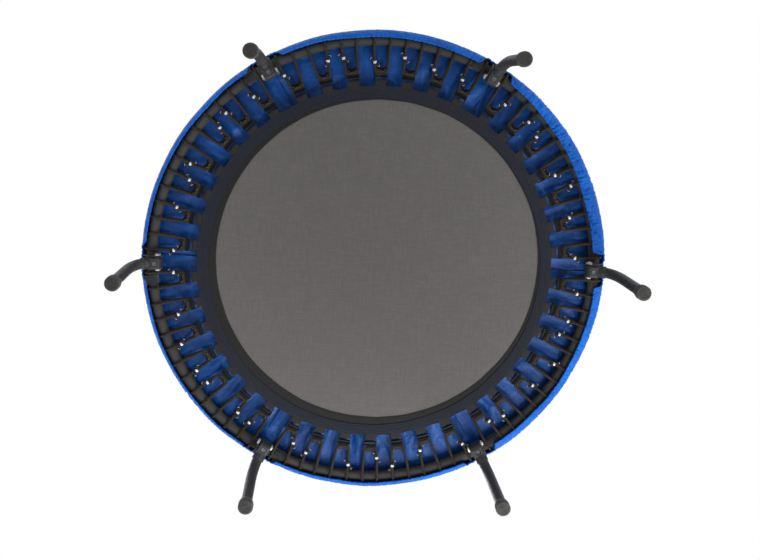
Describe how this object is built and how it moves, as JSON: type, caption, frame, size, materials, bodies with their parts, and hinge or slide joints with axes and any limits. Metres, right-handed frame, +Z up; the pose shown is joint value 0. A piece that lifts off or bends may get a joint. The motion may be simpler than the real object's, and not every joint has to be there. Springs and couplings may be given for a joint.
{
  "type": "mini trampoline",
  "caption": "Round rebounder trampoline: a taut mat hung on looped elastic cords in a steel ring, with a padded cover and folding arched legs.",
  "frame": {"origin": "on the floor at the middle of the ring, with the soles at z = 0", "axes": "+Z up through the mat, +X through leg 1; legs follow every 60 degrees anticlockwise seen from above"},
  "size_m": [1.198, 1.144, 0.338],
  "materials": {
    "frame_paint": "satin charcoal powder coat on steel tube",
    "leg_paint": "satin charcoal powder coat on bent steel tube",
    "bracket_paint": "satin charcoal powder coat on pressed steel",
    "zinc_bolt": "bright zinc plate",
    "block_plastic": "black moulded nylon",
    "button_plastic": "dark grey moulded nylon",
    "foot_rubber": "dark grey rubber with ridged sole",
    "strap_elastic": "black woven elastic",
    "cover_fabric": "royal blue coated cover fabric",
    "mat_mesh": "warm grey woven mat cloth",
    "edge_webbing": "near-black stitched webbing",
    "hook_steel": "dark coated steel wire",
    "cord_braid": "black-brown braided elastic"
  },
  "bodies": {
    "frame": {"frame_ring": "frame_paint", "safety_pad": "cover_fabric", "pad_skirt": "cover_fabric", "leg_bracket_1": "bracket_paint", "leg_bracket_2": "bracket_paint", "leg_bracket_3": "bracket_paint", "leg_bracket_4": "bracket_paint", "leg_bracket_5": "bracket_paint", "leg_bracket_6": "bracket_paint", "pivot_bolt_1": "zinc_bolt", "pivot_bolt_2": "zinc_bolt", "pivot_bolt_3": "zinc_bolt", "pivot_bolt_4": "zinc_bolt", "pivot_bolt_5": "zinc_bolt", "pivot_bolt_6": "zinc_bolt", "cover_strap_1": "strap_elastic", "cover_strap_2": "strap_elastic", "cover_strap_3": "strap_elastic", "cover_strap_4": "strap_elastic", "cover_strap_5": "strap_elastic", "cover_strap_6": "strap_elastic", "bungee_cords_1": "cord_braid", "bungee_cords_2": "cord_braid", "bungee_cords_3": "cord_braid", "bungee_cords_4": "cord_braid", "bungee_cords_5": "cord_braid", "bungee_cords_6": "cord_braid"},
    "mat": {"jump_mat": "mat_mesh", "mat_edge_band": "edge_webbing", "mat_hooks_1": "hook_steel", "mat_hooks_2": "hook_steel", "mat_hooks_3": "hook_steel", "mat_hooks_4": "hook_steel", "mat_hooks_5": "hook_steel", "mat_hooks_6": "hook_steel"},
    "leg_1": {"hinge_block_1": "block_plastic", "leg_tube_1": "leg_paint", "foot_1": "foot_rubber"},
    "button_1": {"lock_button_1": "button_plastic"},
    "leg_2": {"hinge_block_2": "block_plastic", "leg_tube_2": "leg_paint", "foot_2": "foot_rubber"},
    "button_2": {"lock_button_2": "button_plastic"},
    "leg_3": {"hinge_block_3": "block_plastic", "leg_tube_3": "leg_paint", "foot_3": "foot_rubber"},
    "button_3": {"lock_button_3": "button_plastic"},
    "leg_4": {"hinge_block_4": "block_plastic", "leg_tube_4": "leg_paint", "foot_4": "foot_rubber"},
    "button_4": {"lock_button_4": "button_plastic"},
    "leg_5": {"hinge_block_5": "block_plastic", "leg_tube_5": "leg_paint", "foot_5": "foot_rubber"},
    "button_5": {"lock_button_5": "button_plastic"},
    "leg_6": {"hinge_block_6": "block_plastic", "leg_tube_6": "leg_paint", "foot_6": "foot_rubber"},
    "button_6": {"lock_button_6": "button_plastic"}
  },
  "joints": [
    {"name": "leg_fold_1", "type": "hinge", "parent": "frame", "child": "leg_1", "pos_m": [0.53, 0, 0.276], "axis": [0, -1, 0], "range_deg": [-96, 0]},
    {"name": "lock_button_press_1", "type": "slide", "parent": "leg_1", "child": "button_1", "axis": [0, 0, 1], "range_m": [0, 0.003], "stiffness_N_per_m": 300},
    {"name": "leg_fold_2", "type": "hinge", "parent": "frame", "child": "leg_2", "pos_m": [0.265, 0.45899, 0.276], "axis": [0.866, -0.5, 0], "range_deg": [-96, 0]},
    {"name": "lock_button_press_2", "type": "slide", "parent": "leg_2", "child": "button_2", "axis": [0, 0, 1], "range_m": [0, 0.003], "stiffness_N_per_m": 300},
    {"name": "leg_fold_3", "type": "hinge", "parent": "frame", "child": "leg_3", "pos_m": [-0.265, 0.45899, 0.276], "axis": [0.866, 0.5, 0], "range_deg": [-96, 0]},
    {"name": "lock_button_press_3", "type": "slide", "parent": "leg_3", "child": "button_3", "axis": [0, 0, 1], "range_m": [0, 0.003], "stiffness_N_per_m": 300},
    {"name": "leg_fold_4", "type": "hinge", "parent": "frame", "child": "leg_4", "pos_m": [-0.53, 0, 0.276], "axis": [0, 1, 0], "range_deg": [-96, 0]},
    {"name": "lock_button_press_4", "type": "slide", "parent": "leg_4", "child": "button_4", "axis": [0, 0, 1], "range_m": [0, 0.003], "stiffness_N_per_m": 300},
    {"name": "leg_fold_5", "type": "hinge", "parent": "frame", "child": "leg_5", "pos_m": [-0.265, -0.45899, 0.276], "axis": [-0.866, 0.5, 0], "range_deg": [-96, 0]},
    {"name": "lock_button_press_5", "type": "slide", "parent": "leg_5", "child": "button_5", "axis": [0, 0, 1], "range_m": [0, 0.003], "stiffness_N_per_m": 300},
    {"name": "leg_fold_6", "type": "hinge", "parent": "frame", "child": "leg_6", "pos_m": [0.265, -0.45899, 0.276], "axis": [-0.866, -0.5, 0], "range_deg": [-96, 0]},
    {"name": "lock_button_press_6", "type": "slide", "parent": "leg_6", "child": "button_6", "axis": [0, 0, 1], "range_m": [0, 0.003], "stiffness_N_per_m": 300},
    {"name": "mat_bounce", "type": "slide", "parent": "frame", "child": "mat", "axis": [0, 0, -1], "range_m": [0, 0.09], "stiffness_N_per_m": 12000, "deforming": ["bungee_cords_1", "bungee_cords_2", "bungee_cords_3", "bungee_cords_4", "bungee_cords_5", "bungee_cords_6"]}
  ]
}
